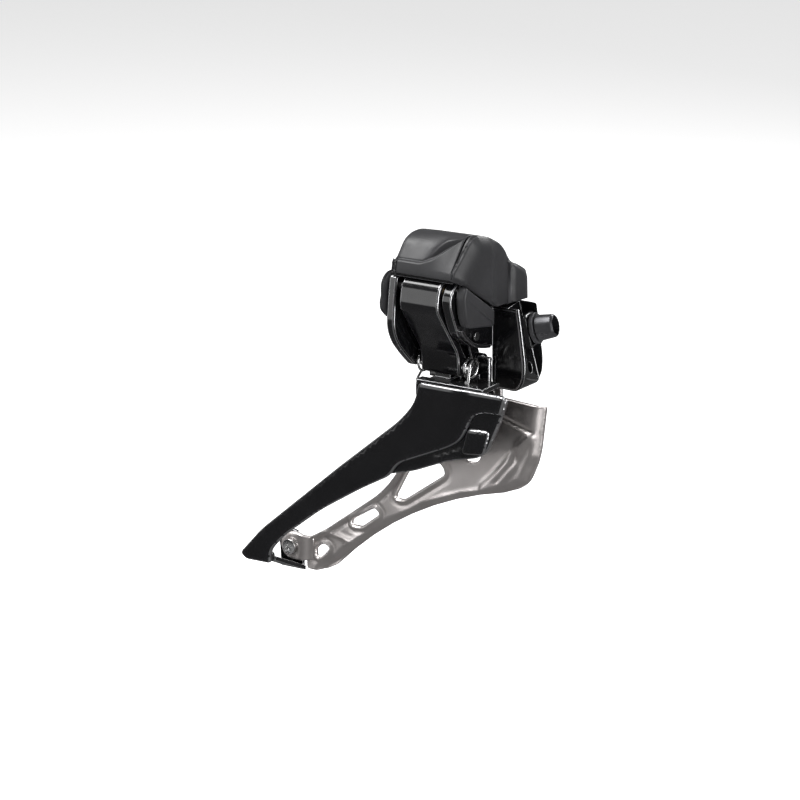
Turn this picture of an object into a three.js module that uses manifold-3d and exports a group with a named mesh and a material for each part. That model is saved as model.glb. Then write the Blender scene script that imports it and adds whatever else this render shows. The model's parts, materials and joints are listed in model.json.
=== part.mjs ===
// Electronic front derailleur: a motor unit and base that bolt to a seat-tube hanger, a parallelogram of two
// links, and a chain cage. Millimetres.
// +X is forward, +Y points inward to the bicycle's centre plane, +Z is up.
// The origin lies on the flat hanger face, below the fixing bolt.
import * as THREE from 'three';
import { ConvexGeometry } from 'three/addons/geometries/ConvexGeometry.js';
import { mergeVertices } from 'three/addons/utils/BufferGeometryUtils.js';
import Module from 'manifold-3d';

const wasm = await Module();
wasm.setup();

// ---------------------------------------------------------------- driving dimensions

const GAP = 0.3; // air between two pieces that rest on each other
const FIT = 0.06; // radial clearance of a pin in its hole

// Hanger face: the direction of the fixing bolt, turned inward and tilted up like a seat tube.
const FACE_YAW = THREE.MathUtils.degToRad(12);
const FACE_PITCH = THREE.MathUtils.degToRad(14);
const BOLT_HEIGHT = 6; // bolt axis above the origin, along the face

// Parallelogram: the four pivots run along X. Each is [y, z].
const UPPER_OUTER = [-25.0, 21.0];
const LOWER_OUTER = [-15.3, -3.0];
const PIVOT_SPACING = 9.5; // outer to inner pivots
const UPPER_INNER = [UPPER_OUTER[0] + PIVOT_SPACING, UPPER_OUTER[1]];
const LOWER_INNER = [LOWER_OUTER[0] + PIVOT_SPACING, LOWER_OUTER[1]];
const PIN_RADIUS = 1.2;
const SHAFT_RADIUS = 1.6;

// Extents along X.
const OUTER_LINK_X = [-23.7, -11.1];
const INNER_LINK_X = [-22.3, -12.7];
const REAR_CHEEK_X = [-28.2, -25.6];
const FRONT_CHEEK_X = [-10.7, -7.7];
const COVER_SPLIT_X = -8.0;
const UNIT_REAR_X = -26.4;
const UNIT_FRONT_X = -3.7;

// Motor unit.
const WALL = 1.2; // thickness of the plastic shells
const SEAL = 0.6; // thickness of the seal between case and covers
const DECK_Z = 24.9; // lower rim of the covers over the links
const SHOULDER_Z = 14.0; // lower rim of the covers over the bracket

// Gear train, module 0.5, all axes along X.
const MODULE = 0.5;
const SECTOR_TEETH = 22;
const PINION_TEETH = 8;
const WHEEL_TEETH = 18;
const MESH_SLACK = 0.05; // extra centre distance
const IDLER_ANGLE = THREE.MathUtils.degToRad(45); // from the output shaft, above +Y
const MOTOR_ANGLE = THREE.MathUtils.degToRad(150); // from the idler, above +Y
const SECTOR_X = [-7.3, -6.6];
const WHEEL_X = [-6.4, -5.8];

// Chain cage.
const BLADE_Y = [-25.0, -23.4];
const RECESS_Y = [-23.6, -21.9];
const INNER_PLATE_Y = [-12.0, -10.8];
const SHELF_Z = [-8.0, -6.5];
const CHAIN_ARC = { x: 22, z: -148, r: 111 }; // the chainring's circle under the inner plate
const SCREW_AT = [-71.3, -66.3]; // tail screw [x, z]

// ---------------------------------------------------------------- solids and how they are made

function toSolid(geometry) {
  const bare = geometry.index ? geometry.toNonIndexed() : geometry.clone();
  bare.deleteAttribute('normal');
  bare.deleteAttribute('uv');
  const merged = mergeVertices(bare, 1e-4);
  const vertProperties = new Float32Array(merged.attributes.position.array);
  const triVerts = new Uint32Array(merged.index.array);
  return new wasm.Manifold(new wasm.Mesh({ numProp: 3, vertProperties, triVerts }));
}

function toGeometry(solid) {
  const mesh = solid.getMesh();
  const geometry = new THREE.BufferGeometry();
  geometry.setAttribute('position', new THREE.BufferAttribute(new Float32Array(mesh.vertProperties), 3));
  geometry.setIndex(new THREE.BufferAttribute(new Uint32Array(mesh.triVerts), 1));
  return geometry;
}

function joined(...solids) {
  return solids.reduce((sum, solid) => sum.add(solid));
}

function cut(body, ...tools) {
  return tools.reduce((rest, tool) => rest.subtract(tool), body);
}

// A closed outline through [a, b] or [a, b, cornerRadius] points.
function outline(points) {
  const count = points.length;
  const at = (i) => new THREE.Vector2(points[(i + count) % count][0], points[(i + count) % count][1]);
  const shape = new THREE.Shape();
  points.forEach((point, i) => {
    const corner = at(i);
    const before = at(i - 1).sub(corner);
    const after = at(i + 1).sub(corner);
    const radius = point[2] ?? 0;
    const reach = Math.min(radius, before.length() * 0.48, after.length() * 0.48);
    const enter = before.setLength(reach).add(corner);
    const leave = after.setLength(reach).add(corner);
    if (i === 0) shape.moveTo(enter.x, enter.y);
    else shape.lineTo(enter.x, enter.y);
    if (reach > 0) shape.quadraticCurveTo(corner.x, corner.y, leave.x, leave.y);
  });
  shape.closePath();
  return shape;
}

// The same outline moved inward by a distance, edge by edge. Points run counter-clockwise.
function inset(points, distance) {
  const count = points.length;
  return points.map((point, i) => {
    const previous = points[(i + count - 1) % count];
    const next = points[(i + 1) % count];
    const inTo = new THREE.Vector2(point[0] - previous[0], point[1] - previous[1]).normalize();
    const outOf = new THREE.Vector2(next[0] - point[0], next[1] - point[1]).normalize();
    const bisector = new THREE.Vector2(-inTo.y - outOf.y, inTo.x + outOf.x).normalize();
    const scale = distance / Math.max(0.3, bisector.x * -inTo.y + bisector.y * inTo.x);
    const radius = Math.max(0, (point[2] ?? 0) - distance);
    return [point[0] + bisector.x * scale, point[1] + bisector.y * scale, radius];
  });
}

function extruded(shape, depth, bevel, steps) {
  return new THREE.ExtrudeGeometry(shape, {
    depth: depth - 2 * bevel,
    bevelEnabled: bevel > 0,
    bevelThickness: bevel,
    bevelSize: bevel,
    bevelOffset: -bevel,
    bevelSegments: 1,
    curveSegments: steps,
  }).translate(0, 0, bevel);
}

const ALONG_X = new THREE.Matrix4().makeBasis(
  new THREE.Vector3(0, 1, 0),
  new THREE.Vector3(0, 0, 1),
  new THREE.Vector3(1, 0, 0),
);
const ALONG_MINUS_Y = new THREE.Matrix4().makeBasis(
  new THREE.Vector3(1, 0, 0),
  new THREE.Vector3(0, 0, 1),
  new THREE.Vector3(0, -1, 0),
);

// Prisms: a [y, z] outline between two x, an [x, z] outline between two y, an [x, y] outline between two z.
function prismX(points, [x0, x1], bevel = 0, steps = 3) {
  return toSolid(extruded(outline(points), x1 - x0, bevel, steps).applyMatrix4(ALONG_X).translate(x0, 0, 0));
}

function prismY(points, [y0, y1], bevel = 0, steps = 3) {
  const body = extruded(outline(points), y1 - y0, bevel, steps);
  return toSolid(body.applyMatrix4(ALONG_MINUS_Y).translate(0, y1, 0));
}

function prismZ(points, [z0, z1], bevel = 0, steps = 3) {
  return toSolid(extruded(outline(points), z1 - z0, bevel, steps).translate(0, 0, z0));
}

function box([x0, x1], [y0, y1], [z0, z1]) {
  const body = new THREE.BoxGeometry(x1 - x0, y1 - y0, z1 - z0);
  return toSolid(body.translate((x0 + x1) / 2, (y0 + y1) / 2, (z0 + z1) / 2));
}

// A solid of revolution about +X through [y, z]; the profile holds [x, radius] pairs.
function turned(profile, [y, z], sides = 16) {
  const points = profile.map(([x, radius]) => new THREE.Vector2(radius, x));
  const body = new THREE.LatheGeometry(points, sides);
  return toSolid(body.rotateZ(-Math.PI / 2).translate(0, y, z));
}

function rodX([x0, x1], centre, radius, sides = 16) {
  return turned([[x0, 0], [x0, radius], [x1, radius], [x1, 0]], centre, sides);
}

function rodY([y0, y1], [x, z], radius, sides = 16) {
  const body = new THREE.CylinderGeometry(radius, radius, y1 - y0, sides);
  return toSolid(body.translate(x, (y0 + y1) / 2, z));
}

// Solids given in the hanger face's own axes: x along the bolt, y across the face, z up the face.
const FACE = new THREE.Matrix4()
  .makeRotationZ(FACE_YAW)
  .multiply(new THREE.Matrix4().makeRotationY(-FACE_PITCH));

function onFace(solid) {
  return toSolid(toGeometry(solid).applyMatrix4(FACE));
}

// ---------------------------------------------------------------- the assembly and its materials

const assembly = new THREE.Group();

function finish(color, roughness, metalness) {
  return { color, roughness, metalness };
}

const FINISHES = {
  coverPlastic: finish(0x4c4c4f, 0.5, 0),
  sealRubber: finish(0x141414, 0.8, 0),
  blackAlloy: finish(0x1c1c1f, 0.25, 0.6),
  nickel: finish(0x9c9491, 0.35, 1),
  darkSteel: finish(0x2a2a2c, 0.35, 0.9),
  brightSteel: finish(0xc8c8c8, 0.25, 1),
  brass: finish(0xb08d4a, 0.4, 1),
  boardGreen: finish(0x1e5a36, 0.6, 0),
};

function addPart(name, solid, look) {
  const mesh = new THREE.Mesh(toGeometry(solid), new THREE.MeshStandardMaterial(FINISHES[look]));
  mesh.name = name;
  assembly.add(mesh);
}

// Gear centres [y, z], stepping out from the output shaft.
function geared([y, z], teeth, angle) {
  const distance = (MODULE * teeth) / 2 + MESH_SLACK;
  return [y + distance * Math.cos(angle), z + distance * Math.sin(angle)];
}

const IDLER_CENTRE = geared(UPPER_INNER, SECTOR_TEETH + PINION_TEETH, IDLER_ANGLE);
const MOTOR_CENTRE = geared(IDLER_CENTRE, WHEEL_TEETH + PINION_TEETH, MOTOR_ANGLE);

// ---------------------------------------------------------------- base

// Cheek outlines [y, z], counter-clockwise.
const REAR_CHEEK = [
  [-17.5, -4.1, 1.5], [-13.6, -4.1, 2], [-9.5, 4, 4], [-2.2, 8, 3], [-2.2, 15, 2], [-6.5, 24.0, 1],
  [-27.4, 24.0, 1], [-28.4, 18.5, 4], [-29.3, 9.5, 3], [-27.0, 4.6, 4], [-21.3, -1.0, 4],
];
const FRONT_CHEEK = [
  [-13.5, 2.8, 4], [-6.0, 1.6, 0], [2.5, 1.6, 0], [2.5, 12.6, 1], [-6.5, 13.2, 1], [-9.6, 24.0, 1],
  [-24.4, 24.0, 2], [-27.8, 20.6, 3], [-28.0, 17.6, 3], [-25.1, 11.0, 3], [-23.4, 8.2, 3], [-18.0, 4.3, 4],
];

// The wall between the cheeks, behind the inner link.
const BACK_WALL = [
  [-3.9, 3.4, 0], [-0.4, 3.4, 1.5], [-0.4, 12.4, 1.5], [-6.6, 24.0, 0], [-10.4, 24.0, 0], [-10.4, 19.5, 3],
];

// The bracket that carries the hanger face, seen from the side [x, z].
const BRACKET_SIDE = [
  [-8.2, 13.2, 0], [-8.2, -9.0, 2], [-6.5, -10.6, 2], [0.6, -10.8, 2], [2.6, -7.4, 4], [2.9, -3.0, 5],
  [1.7, 6.0, 5], [0.5, 13.2, 0.8],
];
const BRACKET_Y = [-5.8, 5.2];
const SUPPORT_BOLT_DROP = -4.8; // support bolt below the origin, along the face

// Flat seat for the frame's hanger: a land around the origin, set back where the radius washer hangs.
function hangerSeat() {
  const seatWidth = 4.6;
  const landTop = 0.9;
  const setBack = 0.6;
  return joined(
    onFace(box([0, 12], [-seatWidth, seatWidth], [-16, 20])),
    onFace(box([-setBack, 12], [-seatWidth, seatWidth], [landTop, 20])),
  );
}

function baseBracket() {
  const rimDepth = 1.5;
  const rimX = [FRONT_CHEEK_X[1] - 0.1, FRONT_CHEEK_X[1] + rimDepth];
  const rim = cut(prismX(FRONT_CHEEK, rimX), prismX(inset(FRONT_CHEEK, 1.0), [-9, -5]));
  const lowerRim = rim.intersect(box([-9, -5], [-30, -9], [0, 10.3]));
  const bracket = prismY(BRACKET_SIDE, BRACKET_Y, 0.6);
  const body = joined(
    prismX(REAR_CHEEK, REAR_CHEEK_X, 0.4),
    prismX(FRONT_CHEEK, FRONT_CHEEK_X, 0.3),
    prismX(BACK_WALL, [REAR_CHEEK_X[1] - 0.5, FRONT_CHEEK_X[0] + 0.5]),
    lowerRim,
    bracket,
  );
  const boltHole = onFace(rodX([-12, 3], [0, BOLT_HEIGHT], 2.6));
  const supportHole = onFace(rodX([-14, 3], [0, SUPPORT_BOLT_DROP], 1.6));
  return cut(
    body,
    hangerSeat(),
    boltHole,
    supportHole,
    rodX([-30, 0], UPPER_OUTER, PIN_RADIUS + FIT),
    rodX([-30, 0], UPPER_INNER, SHAFT_RADIUS + 1.0 + FIT),
  );
}


// ---------------------------------------------------------------- motor unit shells

// Section of the covers [y, z], counter-clockwise, and of the shoulder over the bracket.
const COVER_SECTION = [
  [-27.2, DECK_Z, 0], [-3.2, DECK_Z, 0], [-3.2, 26.6, 2], [-5.2, 30.8, 3], [-9.0, 34.7, 3], [-13.0, 35.9, 3],
  [-19.4, 35.5, 3], [-22.8, 33.0, 2], [-26.4, 28.7, 2], [-27.2, 28.0, 0.8],
];
const SHOULDER_SECTION = [
  [-9.2, SHOULDER_Z, 0], [5.3, SHOULDER_Z, 0.6], [5.0, 20.6, 2], [3.4, 23.2, 2], [-1.0, 24.9, 2],
  [-9.2, 25.6, 0],
];
// Front of the unit: the covers reach down along a slope.
const FRONT_SKIRT = [
  [-9.2, SHOULDER_Z, 0], [-3.2, SHOULDER_Z, 0], [-3.2, 26, 0], [-26.6, 26, 0], [-26.6, 24.2, 0.5],
  [-25.0, 23.6, 0],
];
// Plan of the unit [x, y]: rear end, rounded front corners, shoulder.
const UNIT_PLAN = [
  [UNIT_REAR_X, -28.0, 0.8], [-7.6, -28.0, 1], [-4.6, -22.0, 4], [UNIT_FRONT_X, -14, 3],
  [UNIT_FRONT_X, -4.5, 2],
  [-2.8, -2.5, 1], [-2.8, 6, 2.5], [-11.5, 6, 1], [-11.5, -2.9, 0], [UNIT_REAR_X, -2.9, 2],
];

function unitBlock(wall) {
  const plan = prismZ(inset(UNIT_PLAN, wall), [5, 40]);
  const dome = prismX(inset(COVER_SECTION, wall), [UNIT_REAR_X - 1, 0]);
  const shoulder = prismX(inset(SHOULDER_SECTION, wall), [-12, 0]);
  const skirt = prismX(inset(FRONT_SKIRT, wall), [COVER_SPLIT_X + GAP / 2 + wall, 0]);
  return joined(dome, shoulder, skirt).intersect(plan);
}

// The hollow runs out through the lower rim, so that the shells are open below.
function unitHollow() {
  const plan = prismZ(inset(UNIT_PLAN, WALL), [5, 40]);
  const below = DECK_Z - 2;
  const dome = prismX(inset(COVER_SECTION, WALL), [UNIT_REAR_X - 1, 0]);
  const deckMouth = box([UNIT_REAR_X - 1, 0], [-26.0, -4.4], [below, DECK_Z + 2]);
  const skirtSection = [
    [-8.6, 11], [4.1, 11], [4.1, 20], [2.6, 22.4], [-1.6, 23.8], [-24.6, 23.8], [-24.6, 21],
  ];
  const skirt = prismX(skirtSection, [COVER_SPLIT_X - 0.5, 0]);
  return joined(dome, deckMouth, skirt).intersect(plan);
}

// A straight bar between two rectangles across X, each given as [x, [y0, y1], [z0, z1]].
function taperedBar(...ends) {
  const corners = ends.flatMap(([x, ys, zs]) => ys.flatMap((y) => zs.map((z) => new THREE.Vector3(x, y, z))));
  return toSolid(new ConvexGeometry(corners));
}

// The rear cover's foot stands out as a band that fades towards the split, and its roof falls to the rear.
function rearCover(unit, hollow) {
  const bandTop = 28.4;
  const rear = UNIT_REAR_X - 1.4;
  const fadeX = -10;
  const band = taperedBar([rear, [-27.6, -6], [DECK_Z, bandTop]], [fadeX, [-27.15, -6], [DECK_Z, bandTop]]);
  const plan = prismZ([[rear, -27.8, 1.5], [0, -27.8, 0], [0, -5, 0], [rear, -5, 1]], [20, 30]);
  const scoopZ = [bandTop + 0.2, 33];
  const scoop = taperedBar([-30, [-30, -25.9], scoopZ], [-12, [-30, -27.0], scoopZ]);
  const roof = prismY([[-30, 34.4], [COVER_SPLIT_X, 35.95], [COVER_SPLIT_X, 40], [-30, 40]], [-40, 10]);
  const half = box([-40, COVER_SPLIT_X - GAP / 2], [-40, 10], [DECK_Z - 0.01, 50]);
  return cut(joined(unit, band.intersect(plan)), scoop, roof, hollow).intersect(half);
}

function frontCover(unit, hollow) {
  const half = box([COVER_SPLIT_X + GAP / 2, 10], [-40, 10], [5, 50]);
  return cut(unit, hollow).intersect(half);
}

// The case is a tray under the covers: a deck over the links and an end box in front of the front cheek.
const CASE_END = [
  [-10.0, 8.7, 1], [-10.0, 13.6, 0], [-24.6, 22.9, 0], [-26.2, 20.4, 1.5], [-25.4, 14.6, 2],
  [-23.6, 11.0, 1.5],
];

function motorCase() {
  const deckTop = DECK_Z - SEAL;
  const deck = box([UNIT_REAR_X, COVER_SPLIT_X + 0.1], [-27.0, -3.4], [deckTop - 0.3, deckTop]);
  const lip = box([-25.0, COVER_SPLIT_X - 0.6], [-25.6, -4.9], [deckTop - 0.1, deckTop + 1.4]);
  const inside = box([-24.2, COVER_SPLIT_X + 0.6], [-24.8, -5.7], [deckTop, deckTop + 3]);
  const frontOpening = box([-9.2, 0], [-24.8, -5.7], [deckTop, deckTop + 3]);
  return cut(joined(deck, lip), inside, frontOpening);
}

function caseEnd() {
  const x0 = FRONT_CHEEK_X[1] + GAP;
  const shell = prismX(CASE_END, [x0, UNIT_FRONT_X - 0.5], 0.5);
  const hollow = prismX(inset(CASE_END, 1.0), [x0 - 1, UNIT_FRONT_X - 1.5]);
  const mouthSection = [[-11, 9.7], [-11, 15], [-24.5, 23.6], [-24.6, 20.5], [-23.0, 12.2]];
  const mouth = prismX(mouthSection, [x0 - 1, UNIT_FRONT_X - 1.5]);
  return cut(shell, hollow, mouth);
}

function caseSeal() {
  const ring = box([UNIT_REAR_X - 0.6, COVER_SPLIT_X - 0.2], [-27.2, -3.3], [DECK_Z - 0.4, DECK_Z - 0.15]);
  return cut(ring, box([-25.3, COVER_SPLIT_X - 0.4], [-25.9, -4.6], [20, 30]));
}

function rearCap() {
  const outlinePoints = [
    [-16, 10.6, 2], [-13.6, 13.4, 3], [-13.4, 22, 2], [-15, 24.2, 2], [-25.5, 24.6, 3], [-28.3, 21.8, 3],
    [-28.2, 17.8, 1], [-28.9, 16.4, 1], [-28.7, 13.8, 2], [-25.2, 10.6, 3],
  ];
  return prismX(outlinePoints, [-31.2, REAR_CHEEK_X[0] - GAP], 0.9, 4);
}

function motorUnit() {
  const unit = unitBlock(0);
  const hollow = unitHollow();
  const socketHole = rodX([-14, -8], SOCKET_CENTRE, 2.9);
  addPart('cover_rear', rearCover(unit, hollow), 'coverPlastic');
  addPart('cover_front', cut(frontCover(unit, hollow), socketHole), 'coverPlastic');
  addPart('motor_case', motorCase(), 'coverPlastic');
  addPart('case_end', caseEnd(), 'coverPlastic');
  addPart('case_seal', caseSeal(), 'sealRubber');
  addPart('rear_cap', rearCap(), 'coverPlastic');
}

const SOCKET_CENTRE = [1.0, 18.8];

// ---------------------------------------------------------------- drive

// A gear outline of full teeth over part of a circle; the first tooth or gap is centred on the start angle.
function gearOutline([y, z], teeth, count, start, addendum = 0.4, dedendum = 0.55) {
  const pitchRadius = (MODULE * teeth) / 2;
  const step = (2 * Math.PI) / teeth;
  const halfTooth = 0.18 * step;
  const points = [];
  const put = (angle, radius) => points.push([y + radius * Math.cos(angle), z + radius * Math.sin(angle)]);
  for (let i = 0; i < count; i += 1) {
    const middle = start + i * step;
    put(middle - halfTooth * 1.5, pitchRadius - dedendum);
    put(middle - halfTooth * 0.6, pitchRadius + addendum);
    put(middle + halfTooth * 0.6, pitchRadius + addendum);
    put(middle + halfTooth * 1.5, pitchRadius - dedendum);
  }
  if (count < teeth) points.push([y, z]);
  return points;
}

const toothStep = (teeth) => (2 * Math.PI) / teeth;

function outputSector() {
  const span = 7;
  const first = IDLER_ANGLE - 2 * toothStep(SECTOR_TEETH);
  const teeth = prismX(gearOutline(UPPER_INNER, SECTOR_TEETH, span, first), SECTOR_X);
  const hub = rodX([SECTOR_X[0], SECTOR_X[1]], UPPER_INNER, 2.9);
  return cut(joined(teeth, hub), rodX([-9, -4], UPPER_INNER, SHAFT_RADIUS + FIT));
}

function idlerGear() {
  const facing = IDLER_ANGLE + Math.PI + toothStep(PINION_TEETH) / 2;
  const pinionX = [SECTOR_X[0], WHEEL_X[0] + 0.1];
  const pinion = prismX(gearOutline(IDLER_CENTRE, PINION_TEETH, PINION_TEETH, facing), pinionX);
  const wheel = prismX(gearOutline(IDLER_CENTRE, WHEEL_TEETH, WHEEL_TEETH, MOTOR_ANGLE), WHEEL_X);
  return cut(joined(pinion, wheel), rodX([-9, -4], IDLER_CENTRE, 0.7 + FIT));
}

function drivePinion() {
  const facing = MOTOR_ANGLE + Math.PI + toothStep(PINION_TEETH) / 2;
  const gear = prismX(gearOutline(MOTOR_CENTRE, PINION_TEETH, PINION_TEETH, facing), WHEEL_X);
  return joined(gear, rodX([-9.6, WHEEL_X[0] + 0.1], MOTOR_CENTRE, 0.75, 16));
}

function electricMotor() {
  const can = turned([[-23.6, 0], [-23.6, 3.0], [-23.1, 3.5], [-14.6, 3.5], [-14.6, 0]], MOTOR_CENTRE);
  return joined(can, rodX([-24.3, -23.5], MOTOR_CENTRE, 1.2, 16));
}

function gearhead() {
  const body = turned([[-14.3, 0], [-14.3, 3.3], [-9.4, 3.3], [-9.0, 2.9], [-9.0, 0]], MOTOR_CENTRE);
  return cut(body, rodX([-10, -8], MOTOR_CENTRE, 0.75 + FIT + 0.05));
}

// Plate inside the covers that holds the gearhead and the idler pin.
const PLATE_X = [-8.6, -7.7];

function gearPlate() {
  const disc = (centre, radius) => rodX(PLATE_X, centre, radius, 20);
  const [motorY, motorZ] = MOTOR_CENTRE;
  const [idlerY, idlerZ] = IDLER_CENTRE;
  const webSection = [
    [motorY, motorZ - 2.6], [idlerY, idlerZ - 0.9], [idlerY, idlerZ + 1.6], [motorY, motorZ + 2.6],
  ];
  const web = prismX(webSection, PLATE_X);
  return cut(
    joined(disc(MOTOR_CENTRE, 3.3), disc(IDLER_CENTRE, 1.6), web),
    rodX([-12, -5], MOTOR_CENTRE, 0.75 + FIT + 0.05),
    rodX([-12, -5], IDLER_CENTRE, 0.7 + FIT),
  );
}

function wireSocket() {
  const ring = rodX([-12.4, -9.2], SOCKET_CENTRE, 2.7);
  return cut(ring, rodX([-13, -10.4], SOCKET_CENTRE, 1.5));
}

function bearing([x0, x1]) {
  const ring = rodX([x0, x1], UPPER_INNER, SHAFT_RADIUS + 1.0);
  return cut(ring, rodX([x0 - 1, x1 + 1], UPPER_INNER, SHAFT_RADIUS + FIT));
}

function drive() {
  addPart('electric_motor', electricMotor(), 'brightSteel');
  addPart('motor_gearhead', gearhead(), 'darkSteel');
  addPart('drive_pinion', drivePinion(), 'brass');
  addPart('idler_gear', idlerGear(), 'brass');
  addPart('idler_pin', rodX([PLATE_X[0], WHEEL_X[1] + 0.4], IDLER_CENTRE, 0.7), 'brightSteel');
  addPart('gear_plate', gearPlate(), 'brightSteel');
  addPart('output_sector', outputSector(), 'brightSteel');
  const shaft = rodX([REAR_CHEEK_X[0] + 0.1, SECTOR_X[1] + 0.5], UPPER_INNER, SHAFT_RADIUS);
  addPart('output_shaft', shaft, 'brightSteel');
  addPart('bearing_rear', bearing([REAR_CHEEK_X[0] + 0.2, REAR_CHEEK_X[1] - 0.2]), 'brightSteel');
  addPart('bearing_front', bearing([FRONT_CHEEK_X[0] + 0.2, FRONT_CHEEK_X[1] - 0.2]), 'brightSteel');
  addPart('circuit_board', box([-23.4, -10.2], [-8.0, -7.2], [DECK_Z + 0.4, DECK_Z + 4.6]), 'boardGreen');
  addPart('wire_socket', wireSocket(), 'sealRubber');
}

// ---------------------------------------------------------------- links

// Section of the outer link [y, z]: a barrel on top, a broad outer face that leans in towards the cage.
const OUTER_LINK_SECTION = [
  [-17.9, -5.2, 1.2], [-13.4, -5.2, 1.6], [-12.9, -1.4, 2], [-15.6, 1.6, 3], [-22.0, 12.6, 3],
  [-22.0, 22.2, 2],
  [-23.6, 23.8, 1.5], [-26.8, 23.8, 1.5], [-28.6, 21.6, 2], [-29.6, 16.2, 2], [-18.4, 1.4, 2],
];
const INNER_LINK_SECTION = [
  [-6.9, -5.3, 1], [-4.6, -5.3, 1], [-3.4, -3.0, 2], [-5.0, 0.2, 2], [-12.9, 20.0, 2], [-13.4, 22.6, 2],
  [-16.4, 23.4, 2], [-18.2, 21.0, 2], [-17.2, 18.2, 2], [-8.3, -3.0, 3],
];
const LUG_X = [-20.0, -14.8]; // the cage's lug inside the outer link
const BUSH_WALL = 0.5;

function outerLink() {
  const body = prismX(OUTER_LINK_SECTION, OUTER_LINK_X, 0.35, 4);
  const lugRoom = rodX([LUG_X[0] - GAP, LUG_X[1] + GAP], LOWER_OUTER, 2.4 + GAP);
  const lugExit = box([LUG_X[0] - GAP, LUG_X[1] + GAP], [-17.0, -10], [-8, LOWER_OUTER[1]]);
  const back = prismX([[-21, 11], [-13, -1.5], [-10, 4], [-18, 20], [-21, 20]], [-21, -13.8]);
  return cut(
    body,
    lugRoom,
    lugExit,
    back,
    rodX([-30, 0], UPPER_OUTER, PIN_RADIUS + BUSH_WALL + FIT),
    rodX([-30, 0], LOWER_OUTER, PIN_RADIUS + FIT),
  );
}

function innerLink() {
  const body = prismX(INNER_LINK_SECTION, INNER_LINK_X, 0.3, 3);
  const openPivot = 0.35; // play at the pivot where the linkage is opened
  return cut(
    body,
    rodX([-30, 0], UPPER_INNER, SHAFT_RADIUS + FIT),
    rodX([-30, 0], LOWER_INNER, PIN_RADIUS - 0.2 + openPivot),
  );
}

function linkBush([x0, x1]) {
  return cut(
    rodX([x0, x1], UPPER_OUTER, PIN_RADIUS + BUSH_WALL),
    rodX([x0 - 1, x1 + 1], UPPER_OUTER, PIN_RADIUS + FIT),
  );
}

function links() {
  const [linkRear, linkFront] = OUTER_LINK_X;
  addPart('outer_link', outerLink(), 'blackAlloy');
  addPart('link_bush_rear', linkBush([linkRear, linkRear + 3]), 'brass');
  addPart('link_bush_front', linkBush([linkFront - 3, linkFront]), 'brass');
  addPart('inner_link', innerLink(), 'blackAlloy');
  const upperPin = rodX([REAR_CHEEK_X[0] + 0.2, FRONT_CHEEK_X[1] - 0.1], UPPER_OUTER, PIN_RADIUS);
  addPart('upper_pin', upperPin, 'brightSteel');
}

// ---------------------------------------------------------------- chain cage

// Raised face of the outer plate [x, z], counter-clockwise from the tail.
const BLADE = [
  [-79.9, -69.0, 1], [-71.5, -68.9, 0.5], [-71.3, -64.9, 3], [-66.5, -59.6, 4], [-54.0, -49.8, 6],
  [-40.0, -41.0, 6], [-30.2, -35.6, 3], [-27.2, -31.2, 3], [-10.4, -23.9, 4], [-6.2, -21.2, 3],
  [-2.8, -13.6, 4], [1.0, -12.1, 3], [6.2, -12.1, 0.6], [7.8, -6.6, 0.8], [-20.2, -6.4, 1.2],
  [-21.6, -12.6, 5], [-26.4, -18.4, 6], [-46.8, -35.2, 4], [-74.4, -58.9, 4], [-82.0, -67.4, 1.2],
];
// The thinner layer behind it, which guides the chain [x, z].
const RECESS = [
  [-31.0, -35.4, 1], [-22.8, -33.2, 4], [-11.0, -28.2, 4], [-1.6, -26.0, 2], [1.6, -23.6, 2], [5.6, -13.8, 3],
  [7.4, -7.0, 0.6], [-19.6, -7.0, 0.6], [-26.0, -19.6, 3], [-45.0, -36.0, 3], [-40, -39.4, 2],
];
// A pad that stiffens its front end, and a foot under the blade's tip [x, z].
const PAD = [[-6.4, -25.2, 1], [0.6, -24.4, 1], [2.6, -17.6, 1], [-4.2, -17.8, 1]];
const FOOT = [[-80.0, -69.0, 1], [-71.6, -68.9, 0.5], [-71.6, -66.4, 0.5], [-79.0, -64.6, 2]];
const SHELF_Y = [-21.6, -12.3];

function outerPlate() {
  const face = prismY(BLADE, BLADE_Y, 0.35);
  const guide = prismY(RECESS, RECESS_Y, 0.2);
  const pad = prismY(PAD, [-24.3, -23.0], 0.3);
  return cut(joined(face, guide, pad, prismY(FOOT, RECESS_Y)), ...rivetHoles());
}

const RIVETS = [-20.6, -3.4];

function rivetHoles() {
  return RIVETS.map((x) => rodY([-24.2, -20], [x, -9.4], 0.9 + FIT));
}

function shelfOutline() {
  return [
    [-23.2, SHELF_Y[0], 0.5], [-1.2, SHELF_Y[0], 0.5], [-1.2, SHELF_Y[1], 0.5], [-10.4, SHELF_Y[1], 0],
    [-10.4, -4.6, 1], [-24.6, -4.6, 1], [-24.6, SHELF_Y[1], 0], [-23.2, SHELF_Y[1], 0],
  ];
}

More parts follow.
